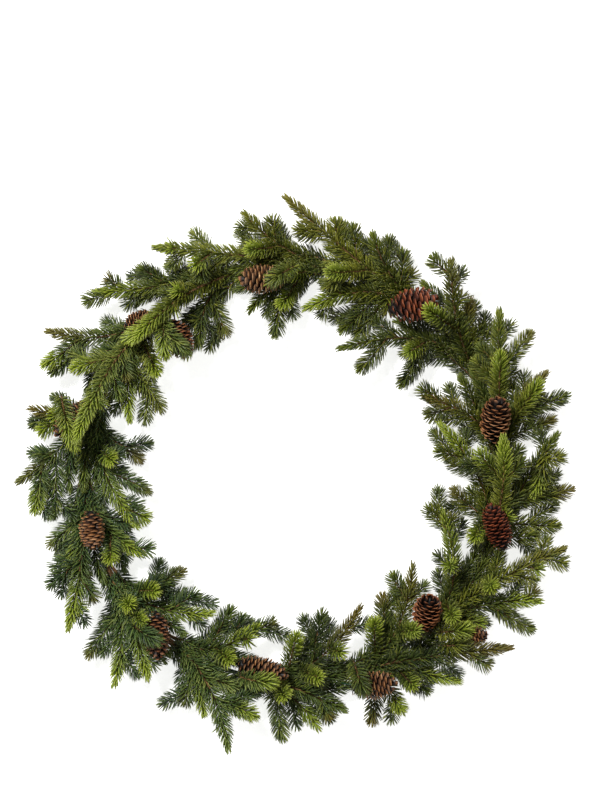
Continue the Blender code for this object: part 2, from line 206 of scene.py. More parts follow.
SPRAYS = (
    (0, "out", "22/300 12/295 16/315 18/288 21/289*"),
    (0, "top", "39/288 31/304 31/261* 33/234"),
    (0, "in", "31/163 24/155 22/185 35/166"),
    (1, "out", "45/273 36/282 41/236*"),
    (1, "top", "54/290 58/278 47/270 52/229*"),
    (1, "in", "71/143 58/130 62/165 47/179* 39/148"),
    (2, "out", "72/278 64/274 59/259 68/239"),
    (2, "top", "92/303 81/283 77/281 90/266 81/221*"),
    (2, "in", "87/178* 72/161 66/162 81/210 59/201"),
    (3, "out", "101/291 95/283 102/248*"),
    (3, "top", "122/290 119/280* 116/249* 96/221"),
    (3, "in", "106/181 98/148 95/180* 91/217*"),
    (4, "out", "138/294* 127/282 134/296 141/296"),
    (4, "top", "141/222* 123/236* 127/218*"),
    (4, "in", "127/169 116/165 124/195 134/176*"),
    (5, "out", "150/312 157/297* 158/287"),
    (5, "top", "172/235* 161/220* 155/266* 151/208"),
    (5, "in", "163/185* 155/156 144/181*"),
    (6, "out", "182/302 189/284* 176/283 191/267"),
    (6, "top", "166/297 171/280* 167/272*"),
    (6, "in", "200/177* 198/163* 188/156 176/164 176/195*"),
    (7, "out", "205/271* 202/284 197/280 207/253"),
    (7, "top", "215/296* 205/294 213/271* 213/254"),
    (7, "in", "209/184* 198/183 206/218* 209/172"),
    (8, "out", "230/304* 222/304 222/259 229/281"),
    (8, "top", "235/273* 219/225* 225/226* 235/255"),
    (8, "in", "241/173* 232/164 222/157 223/176 221/192*"),
    (9, "out", "250/282* 245/281 239/246"),
    (9, "top", "257/307 254/284 262/266* 256/241"),
    (9, "in", "258/166* 246/158 264/161 256/185* 252/211*"),
    (10, "out", "276/281* 268/295 275/261 265/250"),
    (10, "top", "283/263 279/269 268/240* 266/225*"),
    (10, "in", "298/160 283/151 272/171* 286/199* 278/221*"),
    (11, "out", "309/292* 295/286* 287/290 302/283 300/265*"),
    (11, "top", "322/302 316/299 312/263 307/242 302/226"),
    (11, "in", "324/161 315/151 307/162 300/179* 309/213*"),
    (12, "out", "333/305* 327/315 322/267* 317/265 335/294"),
    (12, "top", "345/308 342/315 339/290* 335/260* 331/245*"),
    (12, "in", "347/165* 347/148 330/195* 346/180 318/233*"),
    (13, "out", "9/293 4/297 357/308 349/300 358/281 354/263*"),
    (13, "top", "11/230* 8/200* 4/252 350/240* 346/278"),
    (13, "in", "20/167* 12/185 10/156 355/173 340/206*"),
)
print("sprays:", len(SPRAYS))

# %% [markdown]
# A stem lies beside the ring wire under its clamp, then leaves it on a smooth bend. A side
# shoot forks off steeply and curves forward. Both are quadratic curves, as the solids are.


# %% Paths of stems and shoots
def polar(clock, reach, height=0.0):
    turn = math.radians(clock)
    return np.array((reach * math.cos(turn), reach * math.sin(turn), height))


def along_ring(clock):
    turn = math.radians(clock)
    return np.array((-math.sin(turn), math.cos(turn), 0.0))


def beside_ring(clock, angle, distance):
    """A point at an angle round the ring's wire, from the outer side over its top."""
    turn, half = math.radians(angle), math.pi / RING_SPANS
    chord = math.cos(half) / math.cos(math.radians(clock) % (2 * half) - half)
    reach = (RING_RADIUS + distance * math.cos(turn)) * chord
    return polar(clock, reach, RING_WIRE + distance * math.sin(turn))


def seat_point(clamp, seat, along):
    clock = 360.0 * clamp / CLAMPS + math.degrees(along / RING_RADIUS)
    return beside_ring(clock, SEAT_ANGLES[seat], RING_WIRE + STEM_WIRE + GAP)


def bent(path, share):
    """The point at a share of a quadratic path, or several points for several shares."""
    share = np.asarray(share, float)[..., None]
    return (1 - share) ** 2 * path[0] + 2 * share * (1 - share) * path[1] + share**2 * path[2]


def heading(path, share):
    """The unit direction of travel along a path."""
    share = np.asarray(share, float)[..., None]
    ahead = (1 - share) * (path[1] - path[0]) + share * (path[2] - path[1])
    return ahead / np.linalg.norm(ahead, axis=-1, keepdims=True)


def length_of(path):
    return float(np.linalg.norm(np.diff(bent(path, np.linspace(0, 1, 17)), axis=0), axis=1).sum())


def leader_path(clamp, seat, tip):
    start = seat_point(clamp, seat, STEM_LEAD)
    ahead = along_ring(360.0 * clamp / CLAMPS + math.degrees(STEM_LEAD / RING_RADIUS))
    control = start + ahead * 0.45 * np.linalg.norm((tip - start)[:2])
    control[2] = start[2] + 0.62 * (tip[2] - start[2])
    return start, control, tip


def side_path(leader, share, tip):
    start = bent(leader, share)
    ahead = bent(leader, share + 0.01) - start
    chord = tip - start
    ahead = ahead * np.linalg.norm(chord[:2]) / np.linalg.norm(ahead[:2])
    across = chord[:2] - ahead[:2] * (ahead[:2] @ chord[:2]) / (ahead[:2] @ ahead[:2])
    control = start + 0.45 * chord
    control[:2] += 0.10 * across
    return start, control, tip


# %% [markdown]
# The tip of a shoot's solid is a small end face, so its corners give the tip's height. Where
# a side shoot forks off is found by trying every fork and keeping the one whose widest
# corners lie on the solid.


# %% Read each shoot's height and fork from its solid
CORNER_SHARE, CORNER_WIDTH = 0.76, 0.95     # where a body has wide corners, and how wide
FORKS = np.arange(0.14, 0.87, 0.03)         # shares of the leader to try
TIP_SIZE = 0.3 * BODY_HALF_WIDTH


def solid_points(node):
    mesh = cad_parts[node].data
    points = np.empty(len(mesh.vertices) * 3, np.float32)
    mesh.vertices.foreach_get("co", points)
    return points.reshape(-1, 3).astype(float)


def raised(tip, points):
    """The tip at the height of the solid's corners round it, or None where there are none."""
    near = np.hypot(*(points - tip)[:, :2].T) < TIP_SIZE
    return np.array((tip[0], tip[1], np.median(points[near, 2]))) if near.any() else None


def misfit(path, points):
    """How far the wide corners of a shoot's body would lie from those of the solid."""
    centre, ahead = bent(path, CORNER_SHARE), heading(path, CORNER_SHARE)
    across = np.cross(ahead, (0, 0, 1))
    corner = CORNER_WIDTH * BODY_HALF_WIDTH * across / np.linalg.norm(across)
    wanted = (centre + corner, centre - corner)
    return sum(float(np.linalg.norm(points - place, axis=1).min()) for place in wanted)


def shoots_of(clamp, seat, text):
    """The leader and side shoots of a spray as (path, starred) pairs."""
    points = solid_points(f"spray_{clamp:02d}_{seat}")
    found = []
    for word in text.split():
        clock, reach = word.rstrip("*").split("/")
        tip = raised(polar(float(clock), float(reach) * MM), points)
        if tip is None:
            continue
        if not found:
            path = leader_path(clamp, seat, tip)
        else:
            paths = [side_path(found[0][0], share, tip) for share in FORKS]
            path = min(paths, key=lambda tried: misfit(tried, points))
        found.append((path, word.endswith("*")))
    return found


arrangement = [(clamp, seat, shoots_of(clamp, seat, text)) for clamp, seat, text in SPRAYS]
print("shoots:", sum(len(shoots) for _, _, shoots in arrangement))

# %% [markdown]
# ## Cones
#
# The cones are listed as clock angle and reach of the stalk end and of the tip, the lift of
# each end over the middle, and the width, all in millimetres.

# %% The cones' places
CONE_HEIGHT = 49 * MM
CONES = (
    ((106, 219), (92, 212), (0, 0), 32),
    ((60, 204), (50, 248), (3, -3), 37),
    ((9, 218), (21, 238), (-12, 12), 33),
    ((352, 214), (340, 244), (0, 0), 29),
    ((310, 220), (319, 197), (-11, 11), 31),
    ((313, 254), (321, 274), (-17, -11), 24),
    ((285, 240), (297, 252), (0, 0), 30),
    ((253, 213), (269, 219), (0, 0), 28),
    ((225, 208), (234, 249), (-2, 2), 28),
    ((190, 222), (201, 231), (3, -3), 28),
    ((160, 230), (171, 262), (0, 0), 28),
    ((128, 214), (133, 170), (0, 0), 31),
    ((139, 244), (131, 224), (-12, -5), 26),
)


def cone_ends(cone):
    ends = zip(cone[:2], cone[2])
    return [polar(clock, reach * MM, CONE_HEIGHT + lift * MM) for (clock, reach), lift in ends]


# %% [markdown]
# ## Needles
#
# A spruce needle is a stiff, four-angled spindle about 15 mm long on a little peg. Needles
# sit all round the twig in a spiral, each one the golden angle further on, and lean
# forward, more so towards the tip. One needle is drawn as a spindle of five rings, and
# numpy repeats it along every shoot at once. Needles here are 16 mm long and 1.7 mm wide, a
# touch more than real ones, so that they still show from above.

# %% One needle's pattern
GOLDEN_ANGLE = math.radians(137.508)
NEEDLE_LENGTH = 16.2 * MM
NEEDLE_HALF_WIDTH = 0.85 * MM
NEEDLE_PITCH = 0.36 * MM            # of twig for each needle
RINGS = ((0.10, 0.72), (0.45, 1.0), (0.80, 0.78))   # share of the length, share of the width
CORNERS = 4


def needle_pattern():
    """Faces of one needle and the place of each face corner in its UV cell."""
    last = 1 + CORNERS * len(RINGS)
    shares = [share for share, _ in RINGS]
    faces, places = [], []
    for k in range(CORNERS):
        left, right = k / CORNERS, (k + 1) / CORNERS
        follow = (k + 1) % CORNERS
        faces.append((0, 1 + follow, 1 + k))
        places.append(((left + right) / 2, 0.0, right, shares[0], left, shares[0]))
        for ring in range(len(RINGS) - 1):
            low, high = 1 + ring * CORNERS, 1 + (ring + 1) * CORNERS
            here, after = shares[ring], shares[ring + 1]
            faces.append((low + k, low + follow, high + follow, high + k))
            places.append((left, here, right, here, right, after, left, after))
        top = 1 + (len(RINGS) - 1) * CORNERS
        faces.append((top + k, top + follow, last))
        places.append((left, shares[-1], right, shares[-1], (left + right) / 2, 1.0))
    return faces, places


NEEDLE_FACES, NEEDLE_PLACES = needle_pattern()
NEEDLE_POINTS = 2 + CORNERS * len(RINGS)
ALONG = np.array((0.0, *(share for share, _ in RINGS for _ in range(CORNERS)), 1.0))
print("one needle:", NEEDLE_POINTS, "points,", len(NEEDLE_FACES), "faces")

# %% [markdown]
# A shoot is a dictionary: its path, the share of it where needles start, the thickness of its
# twig, and its look. The look is its tone from dark to light, how cool its green is, how
# fresh it is and from where on, its needles' size, and how tan its end is. `needles_on`
# places all the needles of one shoot. The ones on the underside are pushed out to the
# sides, as on a real twig that has turned its needles to the light.


# %% Needles along a shoot
FEWEST_NEEDLES = 12
TWIG_TAPER = 0.62                   # of its radius that a twig loses
RISE_BELOW, RISE_ABOVE = 0.5, 0.8   # how far needles point down and up, over a full circle
LEAN_PLACES, LEANS = (0, 0.55, 0.88, 1), (52, 46, 36, 12)       # degrees off the twig
LONG_PLACES, LONGS = (0, 0.14, 0.75, 1), (0.72, 1.0, 1.0, 0.60) # share of the full length
UNTIDY_TURN, UNTIDY_LEAN = 0.10, 3.0    # scatter in radians and in degrees
BOW = 0.10                          # radians that a needle bends out and back in
NEEDLE_FLATNESS = 0.72              # thickness over width
PEG_DEPTH = 0.7                     # a needle starts at this share of the twig's radius
LOWEST_NEEDLE = 0.4 * MM
GREENING = 0.4                      # share of a shoot over which the fresh colour comes in
TIP_FRESH, TIP_SHARE = 0.30, 0.25   # every shoot's last quarter is a little fresher
SCATTER = {"tone": 0.22, "fresh": 0.06, "cool": 0.08, "tan": 0.05}


def twig_radius(share, thick):
    return thick * (1.0 - TWIG_TAPER * share)


def needles_on(shoot, chance):
    """Points of every needle of a shoot, (needles, points, 3), and a look for each needle."""
    path, first = shoot["path"], shoot["first"]
    run = length_of(path) * (1 - first)
    count = max(FEWEST_NEEDLES, int(run / NEEDLE_PITCH))
    place = (np.arange(count) + chance.uniform(0, 1, count)) / count
    share = first + (1 - first) * place
    ahead = heading(path, share)
    side = np.cross(ahead, (0.0, 0.0, 1.0))
    side /= np.linalg.norm(side, axis=1, keepdims=True)
    over = np.cross(side, ahead)
    turn = np.arange(count) * GOLDEN_ANGLE + chance.normal(0, UNTIDY_TURN, count)
    rise = np.sin(turn) * np.where(np.sin(turn) < 0, RISE_BELOW, RISE_ABOVE)
    out = side * np.cos(turn)[:, None] + over * rise[:, None]
    out /= np.linalg.norm(out, axis=1, keepdims=True)
    lean = np.radians(np.interp(place, LEAN_PLACES, LEANS) + chance.normal(0, UNTIDY_LEAN, count))
    long = NEEDLE_LENGTH * np.interp(place, LONG_PLACES, LONGS)
    long *= chance.uniform(0.86, 1.07, count) * shoot["size"]
    base = bent(path, share) + out * (PEG_DEPTH * twig_radius(share, shoot["thick"]))[:, None]

    def toward(angle, reach):
        return (ahead * np.cos(angle)[:, None] + out * np.sin(angle)[:, None]) * reach[:, None]

    middle = base + toward(lean + BOW, 0.5 * long)
    end = middle + toward(lean - BOW, 0.5 * long)
    broad = np.cross(ahead, out)
    flat = np.cross(broad, end - base)
    flat *= NEEDLE_FLATNESS / np.linalg.norm(flat, axis=1, keepdims=True)
    points = np.empty((count, NEEDLE_POINTS, 3))
    points[:, 0], points[:, -1] = base, end
    for ring, (at, wide) in enumerate(RINGS):
        centre = (1 - at) ** 2 * base + 2 * at * (1 - at) * middle + at**2 * end
        half = NEEDLE_HALF_WIDTH * wide * shoot["size"]
        for k, offset in enumerate((broad, flat, -broad, -flat)):
            points[:, 1 + ring * CORNERS + k] = centre + offset * half
    points[:, :, 2] = np.maximum(points[:, :, 2], LOWEST_NEEDLE)
    young = shoot["fresh"] * np.clip((place - shoot["onset"]) / GREENING, 0, 1)
    looks = {
        "tone": shoot["tone"],
        "fresh": young + TIP_FRESH * np.clip((place - 1 + TIP_SHARE) / TIP_SHARE, 0, 1),
        "cool": shoot["cool"],
        "tan": shoot["tan"] * np.clip((place - 0.5) / 0.5, 0, 1),
    }
    looks = {key: look + chance.normal(0, SCATTER[key], count) for key, look in looks.items()}
    return points, {key: np.clip(look, 0, 1) for key, look in looks.items()}


# %% [markdown]
# Besides the shoots that the solids show, a spray carries short twigs further down, which
# are what makes a bunch look full. They fork off every shoot to the left and right in
# turn, hang a little lower, and keep away from cones, the open middle and the outline.

# %% Short twigs that fill a spray
FILL_EVERY = 22 * MM
FILL_LENGTH, FILL_LENGTHS = 36 * MM, (0.75, 1.2)
FILL_TURN = (36, 50)                # degrees off the path
FILL_SAG = (3, 12)                  # millimetres that its tip hangs below its start
FILL_LOWEST = 6 * MM
FILL_REACHES = (0.156, 0.290)       # metres from the middle that a tip may lie
CONE_MARGIN, UNDER_CONE = 3 * MM, 6 * MM
CONE_BODIES = [(*cone_ends(cone), cone[3] / 2 * MM) for cone in CONES]


def clear_of_cones(points):
    """True if none of the points lies in a cone's body or over it."""
    for stalk, tip, radius in CONE_BODIES:
        axis = tip - stalk
        share = np.clip((points - stalk) @ axis / (axis @ axis), 0, 1)
        off = points - (stalk + share[:, None] * axis)
        beside = np.hypot(off[:, 0], off[:, 1])
        if ((beside < radius + CONE_MARGIN) & (off[:, 2] > -radius - UNDER_CONE)).any():
            return False
    return True


def fill_twigs(path, first, chance):
    """Short side paths along a path."""
    found = []
    count = int(length_of(path) * (0.94 - first) / FILL_EVERY)
    hand = chance.choice((-1, 1))
    for i in range(count):
        share = first + (0.90 - first) * (i + chance.uniform(0.2, 0.8)) / count
        hand = -hand
        start, ahead = bent(path, share), heading(path, share)
        across = np.cross(ahead, (0.0, 0.0, 1.0)) * hand
        turn = math.radians(chance.uniform(*FILL_TURN))
        reach = FILL_LENGTH * chance.uniform(*FILL_LENGTHS) * (1.1 - 0.5 * share)
        way = ahead * math.cos(turn) + across * math.sin(turn)
        tip = start + way * reach
        tip[2] = max(start[2] - chance.uniform(*FILL_SAG) * MM, FILL_LOWEST)
        control = start + 0.5 * (tip - start) + across * 0.06 * reach
        route = (start, control, tip)
        allowed = FILL_REACHES[0] < math.hypot(tip[0], tip[1]) < FILL_REACHES[1]
        if allowed and clear_of_cones(bent(route, (0.4, 0.7, 1.0))):
            found.append(route)
    return found


# %% [markdown]
# A bunch also has short, low shoots round its stems. One of them per spray follows the ring
# from its own clamp to a little past the next one, and hides the wire and the cut stems.

# %% Shoots that cover the ring
COVER_SHARES = (0.06, 0.6, 1.14)    # start, bend and end, in clamp spacings past its clamp
COVER_ASIDE = {"out": 17 * MM, "top": 0.0, "in": -17 * MM}
COVER_SCATTER, COVER_SWING = 3 * MM, 5 * MM
COVER_HEIGHTS, COVER_TIPS = (11 * MM, 17 * MM), (17, 22)


def cover_path(clamp, seat, chance):
    """A low shoot that follows the ring and hides the stems of this clamp and the next."""
    clocks = [360.0 / CLAMPS * (clamp + share) for share in COVER_SHARES]
    aside = RING_RADIUS + COVER_ASIDE[seat] + chance.normal(0, COVER_SCATTER)
    swing = chance.normal(0, COVER_SWING)
    last = chance.uniform(*COVER_TIPS) * MM
    start = polar(clocks[0], RING_RADIUS + 0.3 * COVER_ASIDE[seat], COVER_HEIGHTS[0])
    bulge = aside / math.cos(math.radians((clocks[2] - clocks[0]) / 2))
    return start, polar(clocks[1], bulge, COVER_HEIGHTS[1]), polar(clocks[2], aside + swing, last)


# %% [markdown]
# Some cones sit so deep that a shoot lies over them. Each row gives where such a shoot
# comes up beside the cone and where its tip lies, and a star again marks new growth. The
# cone that is nearest to its middle says how high it has to pass.

# %% Shoots over cones
OVER_CONES = (
    "89/226 97/209",
    "312/232 319/255*", "310/245 316/262",
    "288/212 288/246",
    "255/227 265/224*",
    "222/239 231/230",
    "161/266 173/236*",
    "132/225 131/174", "129/223 137/188*",
    "127/220 141/231*",
)
OVER_CLEARANCE = 4 * MM     # of a covering shoot's twig above the cone
OVER_DROPS = (26 * MM, 9 * MM)      # how much lower it starts and ends


def paths_over_cones(clamp, seat):
    """The (path, starred) pairs of the shoots over cones that grow from this spray."""
    found = []
    for row in OVER_CONES if seat == "top" else ():
        ends = [tuple(map(float, end.rstrip("*").split("/"))) for end in row.split()]
        if int(ends[0][0] * CLAMPS / 360) != clamp:
            continue
        start, tip = (polar(clock, reach * MM) for clock, reach in ends)
        middle = (start + tip) / 2
        apart = [math.dist(middle[:2], (stalk + far)[:2] / 2) for stalk, far, _ in CONE_BODIES]
        stalk, far, radius = CONE_BODIES[int(np.argmin(apart))]
        top = (stalk[2] + far[2]) / 2 + radius + OVER_CLEARANCE
        start[2], tip[2] = top - OVER_DROPS[0], top - OVER_DROPS[1]
        control = middle + (0, 0, 2 * top - (start[2] + tip[2]) / 2)
        found.append(((start, control, tip), row.endswith("*")))
    return found


# %% [markdown]
# ### The needles' finish
#
# A fresh spruce needle grows with a thin waxy skin, so it is half glossy and gives the eye
# small soft highlights. Its colour runs from dark through mid green, cooler on some sprays
# and olive on others, to lime in this year's shoots. Old shoots weather to tan at their
# ends. A faint bloom of wax greys some patches, about 18 mm across, and every needle ends
# in a small straw-coloured point.


# %% Needle material
OLIVE = ((0.0, "#2a3514"), (0.35, "#465118"), (0.7, "#6b7020"), (1.0, "#939434"))
COOL = ((0.0, "#233626"), (0.35, "#3c5530"), (0.7, "#5c7438"), (1.0, "#8a9650"))
LIME = ((0.0, "#6c8026"), (0.6, "#93a430"), (1.0, "#b9c24e"))   # from a needle's base on
BLOOM_PATCHES = 55.0                # in a metre, so each is about 18 mm across
BLOOM = {"i1": 0.48, "i2": 0.72, "i3": 0.0, "i4": 0.30}     # of the noise, to 30 % grey
POINT = {"i1": 0.86, "i2": 1.0, "i3": 0.0, "i4": 0.55}      # of a needle's length, to 55 %


def make_needle_material():
    made, tree, shader = new_material("waxy_spruce_needle")
    look = {}
    for name in ("tone", "cool", "along", "fresh", "tan"):
        look[name] = add(tree, "ShaderNodeAttribute", {"attribute_name": name}).outputs["Fac"]
    olive = add(tree, "ShaderNodeValToRGB", {"stops": OLIVE}, Fac=look["tone"]).outputs["Color"]
    cool = add(tree, "ShaderNodeValToRGB", {"stops": COOL}, Fac=look["tone"]).outputs["Color"]
    lime = add(tree, "ShaderNodeValToRGB", {"stops": LIME}, Fac=look["along"]).outputs["Color"]
    green = add(tree, "ShaderNodeMix", MIX, i0=look["cool"], i6=olive, i7=cool).outputs[2]
    green = add(tree, "ShaderNodeMix", MIX, i0=look["fresh"], i6=green, i7=lime).outputs[2]
    tan = linear("#7d6b30")
    worn = add(tree, "ShaderNodeMix", MIX, i0=look["tan"], i6=green, i7=tan).outputs[2]
    place = add(tree, "ShaderNodeTexCoord").outputs["Object"]
    patches = add(tree, "ShaderNodeTexNoise", Vector=place, Scale=BLOOM_PATCHES, Detail=2.0)
    bloom = add(tree, "ShaderNodeMapRange", i0=patches.outputs["Fac"], **BLOOM).outputs["Result"]
    waxed = add(tree, "ShaderNodeMix", MIX, i0=bloom, i6=worn, i7=linear("#6d7a50")).outputs[2]
    tip = add(tree, "ShaderNodeMapRange", i0=look["along"], **POINT).outputs["Result"]
    pointed = add(tree, "ShaderNodeMix", MIX, i0=tip, i6=waxed, i7=linear("#94884a")).outputs[2]
    tree.links.new(pointed, shader.inputs["Base Color"])
    shader.inputs["Roughness"].default_value = 0.38
    shader.inputs["IOR"].default_value = 1.46
    return made


needle_finish = make_needle_material()

# %% [markdown]
# ### Twigs
#
# Spruce bark is a dry, matt orange-brown skin, rough with the pegs that needles leave
# behind, about 1.6 mm apart. A twig is a tapered tube along its path, a little uneven in
# thickness, and the cut end of a stem shows pale sawn wood.

# %% Tubes for twigs and wires
TWIG_SIDES, TWIG_RINGS, HELD_RINGS = 8, 13, 7
UNEVEN = (0.88, 1.12)               # of a twig's radius
PEGS, PEG_HEIGHT = 620.0, 0.5 * MM  # in a metre, so they stand about 1.6 mm apart
BARK_PATCHES = 160.0                # in a metre, so each is about 6 mm long
BARK = ((0.3, "#4a3420"), (0.55, "#76542f"), (0.75, "#96713f"))


def tube_rings(centres, radii, sides):
    """Rings of points round a line of centres."""
    ahead = np.gradient(centres, axis=0)
    ahead /= np.linalg.norm(ahead, axis=1, keepdims=True)
    up = np.array((0.0, 0.0, 1.0)) + 1e-3
    side = np.cross(ahead, up)
    side /= np.linalg.norm(side, axis=1, keepdims=True)
    over = np.cross(side, ahead)
    turn = np.arange(sides) * 2 * math.pi / sides
    ring = side[:, None] * np.cos(turn)[None, :, None] + over[:, None] * np.sin(turn)[None, :, None]
    return centres[:, None] + ring * np.reshape(radii, (len(centres), -1, 1))


def tube_faces(rings, sides, start):
    """Quads between rings of points, closed by one face at each end."""
    faces = []
    for r in range(rings - 1):
        for k in range(sides):
            low, high = start + r * sides, start + (r + 1) * sides
            faces.append((low + k, low + (k + 1) % sides, high + (k + 1) % sides, high + k))
    faces.append(tuple(start + k for k in reversed(range(sides))))
    faces.append(tuple(start + (rings - 1) * sides + k for k in range(sides)))
    return faces


def make_bark_material():
    made, tree, shader = new_material("spruce_bark")
    place = add(tree, "ShaderNodeTexCoord").outputs["Object"]
    shade = add(tree, "ShaderNodeTexNoise", Vector=place, Scale=BARK_PATCHES, Detail=4.0)
    shade = shade.outputs["Fac"]
    bark = add(tree, "ShaderNodeValToRGB", {"stops": BARK}, Fac=shade).outputs["Color"]
    cut = add(tree, "ShaderNodeAttribute", {"attribute_name": "cut"}).outputs["Fac"]
    sawn = add(tree, "ShaderNodeMix", MIX, i0=cut, i6=bark, i7=linear("#cdb88a")).outputs[2]
    tree.links.new(sawn, shader.inputs["Base Color"])
    pegs = add(tree, "ShaderNodeTexVoronoi", Vector=place, Scale=PEGS).outputs["Distance"]
    bump = add(tree, "ShaderNodeBump", Strength=0.6, Distance=PEG_HEIGHT, Height=pegs)
    tree.links.new(bump.outputs["Normal"], shader.inputs["Normal"])
    shader.inputs["Roughness"].default_value = 0.78
    return made


bark_finish = make_bark_material()


# %% [markdown]
# Every piece is put together as plain lists of points and faces, and one function makes the mesh,
# with its attributes, and lets it ride on the frame.
# All needles of a spray are one mesh, and each has a cell of its own in the UV map.


# %% Making a piece
def make_piece(name, points, faces, finishes, replaced=(), attributes=None, slots=None):
    mesh = bpy.data.meshes.new(name)
    mesh.from_pydata(points, [], faces)
    for key, values in (attributes or {}).items():
        layer = mesh.attributes.new(key, "FLOAT", "POINT")
        layer.data.foreach_set("value", np.asarray(values, np.float32))
    for finish in finishes:
        mesh.materials.append(finish)
    if slots is not None:
        mesh.polygons.foreach_set("material_index", np.asarray(slots, np.int32))
    mesh.polygons.foreach_set("use_smooth", [True] * len(mesh.polygons))
    made = bpy.data.objects.new(name, mesh)
    bpy.context.scene.collection.objects.link(made)
    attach(made, "root")
    if replaced:
        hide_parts(*replaced)
    return made


# %% All the needles of a spray
CELL_MARGIN = 0.06


def needle_piece(name, shoots, chance, node):
    """All the needles of one spray as a mesh, each with a cell of its own in the UV map."""
    parts = [needles_on(shoot, chance) for shoot in shoots]
    points = np.concatenate([part[0] for part in parts])
    count = len(points)
    faces = []
    for face in NEEDLE_FACES:
        faces.append(np.asarray(face)[None, :] + NEEDLE_POINTS * np.arange(count)[:, None])
    listed = [row for block in faces for row in block.tolist()]
    spread = {"along": np.tile(ALONG, count)}
    for key in ("tone", "fresh", "cool", "tan"):
        spread[key] = np.repeat(np.concatenate([part[1][key] for part in parts]), NEEDLE_POINTS)
    points = points.reshape(-1, 3)
    made = make_piece(name, points, listed, [needle_finish], [node], spread)
    across = math.ceil(math.sqrt(count))
    cell = np.stack((np.arange(count) % across, np.arange(count) // across), axis=1)
    corners = []
    for place in NEEDLE_PLACES:
        inside = CELL_MARGIN + (1 - 2 * CELL_MARGIN) * np.reshape(place, (1, -1, 2))
        corners.append(((cell[:, None] + inside) / across).reshape(-1, 2))
    layer = made.data.uv_layers.new(name="OFBake")
    layer.data.foreach_set("uv", np.concatenate(corners).astype(np.float32).ravel())
    return count


# %% The stem and twigs of a spray
def twig_piece(name, held, shoots, chance):
    """The stem and every twig of a spray as one mesh of tapered tubes."""
    lines = [(held, np.full(len(held), STEM_WIRE))]
    for shoot in shoots:
        shares = np.linspace(0, 1, TWIG_RINGS)
        lines.append((bent(shoot["path"], shares), twig_radius(shares, shoot["thick"])))
    points, faces, cut = [], [], []
    start = 0
    for centres, radii in lines:
        rings = len(centres)
        uneven = chance.uniform(*UNEVEN, (rings, TWIG_SIDES))
        points.append(tube_rings(centres, radii[:, None] * uneven, TWIG_SIDES).reshape(-1, 3))
        faces += tube_faces(rings, TWIG_SIDES, start)
        marks = np.zeros(rings * TWIG_SIDES)
        marks[:TWIG_SIDES] = 1.0 if start == 0 else 0.0
        cut.append(marks)
        start += rings * TWIG_SIDES
    looks = {"cut": np.concatenate(cut)}
    make_piece(name, np.concatenate(points), faces, [bark_finish], (), looks)


# %% [markdown]
# Sprays differ. The ones on the left of the wreath are cooler in colour, each spray has its own
# tone, and each of its shoots strays a little from that.
# Sprays on top of the ring are set lighter, as a painted highlight. The low covering shoots and the
# short filling twigs are set darker, as painted shade where they lie under the rest.
# A leader keeps its old colour further out than a side shoot.

# %% The looks of a spray's shoots
# The top seat's tone is the highest, a painted highlight on the sprays that lie uppermost.
SEAT_TONES_WITH_PAINTED_LIGHT = {"out": 0.46, "top": 0.55, "in": 0.50}      # mean tone of the sprays in each seat
COOLEST_AT = 195.0                  # clock angle whose sprays are the coolest
BARE_END = 6.5 * MM                 # of a shoot's length that its last needles make up
STEM_TWIG, SHOOT_TWIG, COVER_TWIG, FILL_TWIG = 1.7 * MM, 1.1 * MM, 1.3 * MM, 0.9 * MM


def shoots_to_draw(clamp, seat, shoots, chance):
    """Every shoot of a spray with its look, the short filling twigs included."""
    mood = SEAT_TONES_WITH_PAINTED_LIGHT[seat] + chance.normal(0, 0.08)
    around = math.radians(360.0 * clamp / CLAMPS - COOLEST_AT)
    cool = (0.5 + 0.5 * math.cos(around)) ** 2 + chance.normal(0, 0.12)
    look = {"cool": cool, "tan": 0.0, "fresh": 0.0, "onset": 0.3, "size": 1.0}
    low = cover_path(clamp, seat, chance)
    # The covering shoot is painted darker than its spray, as painted shade under the shoots above
    # it.
    drawn = [look | {"path": low, "first": 0.05, "tone": mood - 0.16, "thick": COVER_TWIG}]
    for number, (path, starred) in enumerate(shoots):
        trimmed = (path[0], path[1], path[2] - heading(path, 1.0) * BARE_END)
        tone = mood + chance.normal(0, 0.12)
        fresh = chance.uniform(0.8, 1.0) if starred else 0.0
        tan = 0.0 if starred else chance.uniform(0.2, 0.9) * (chance.uniform() < 0.6)
        first, onset, thick = (0.06, 0.3, SHOOT_TWIG) if number else (0.10, 0.5, STEM_TWIG)
        drawn.append(look | {
            "path": trimmed, "first": first, "tone": tone + 0.1 * starred, "fresh": fresh,
            "onset": onset, "tan": tan, "thick": thick,
        })
        for route in fill_twigs(trimmed, 0.2 if number else 0.16, chance):
            # Filling twigs are painted darker than their shoot, as painted shade where they hang
            # under it.
            fill = {"path": route, "first": 0.08, "tone": tone - 0.15, "size": 0.92}
            drawn.append(look | fill | {"thick": FILL_TWIG})
    for path, starred in paths_over_cones(clamp, seat):
        over = {"path": path, "first": 0.02, "tone": mood + 0.15 * starred, "fresh": 0.95 * starred}
        drawn.append(look | over | {"thick": SHOOT_TWIG})
    return drawn


# %% Making the sprays
def make_sprays():
    chance = np.random.default_rng(24)
    needles = 0
    for clamp, seat, shoots in arrangement:
        node = f"spray_{clamp:02d}_{seat}"
        drawn = shoots_to_draw(clamp, seat, shoots, chance)
        needles += needle_piece(f"{node}_needles", drawn, chance, node)
        places = np.linspace(-STEM_TAIL, STEM_LEAD, HELD_RINGS)
        held = np.array([seat_point(clamp, seat, along) for along in places])
        twig_piece(f"{node}_twigs", held, drawn, chance)
    print("needles:", needles)


make_sprays()

# %% [markdown]
# ## The cones
#
# A spruce cone is a woody core wrapped in overlapping scales, set in the same golden-angle
# spiral as the needles. Each scale is a thin spoon, narrow at its root and rounded at its
# free end, with a thickened lip. It is drawn once as a small closed grid and repeated.

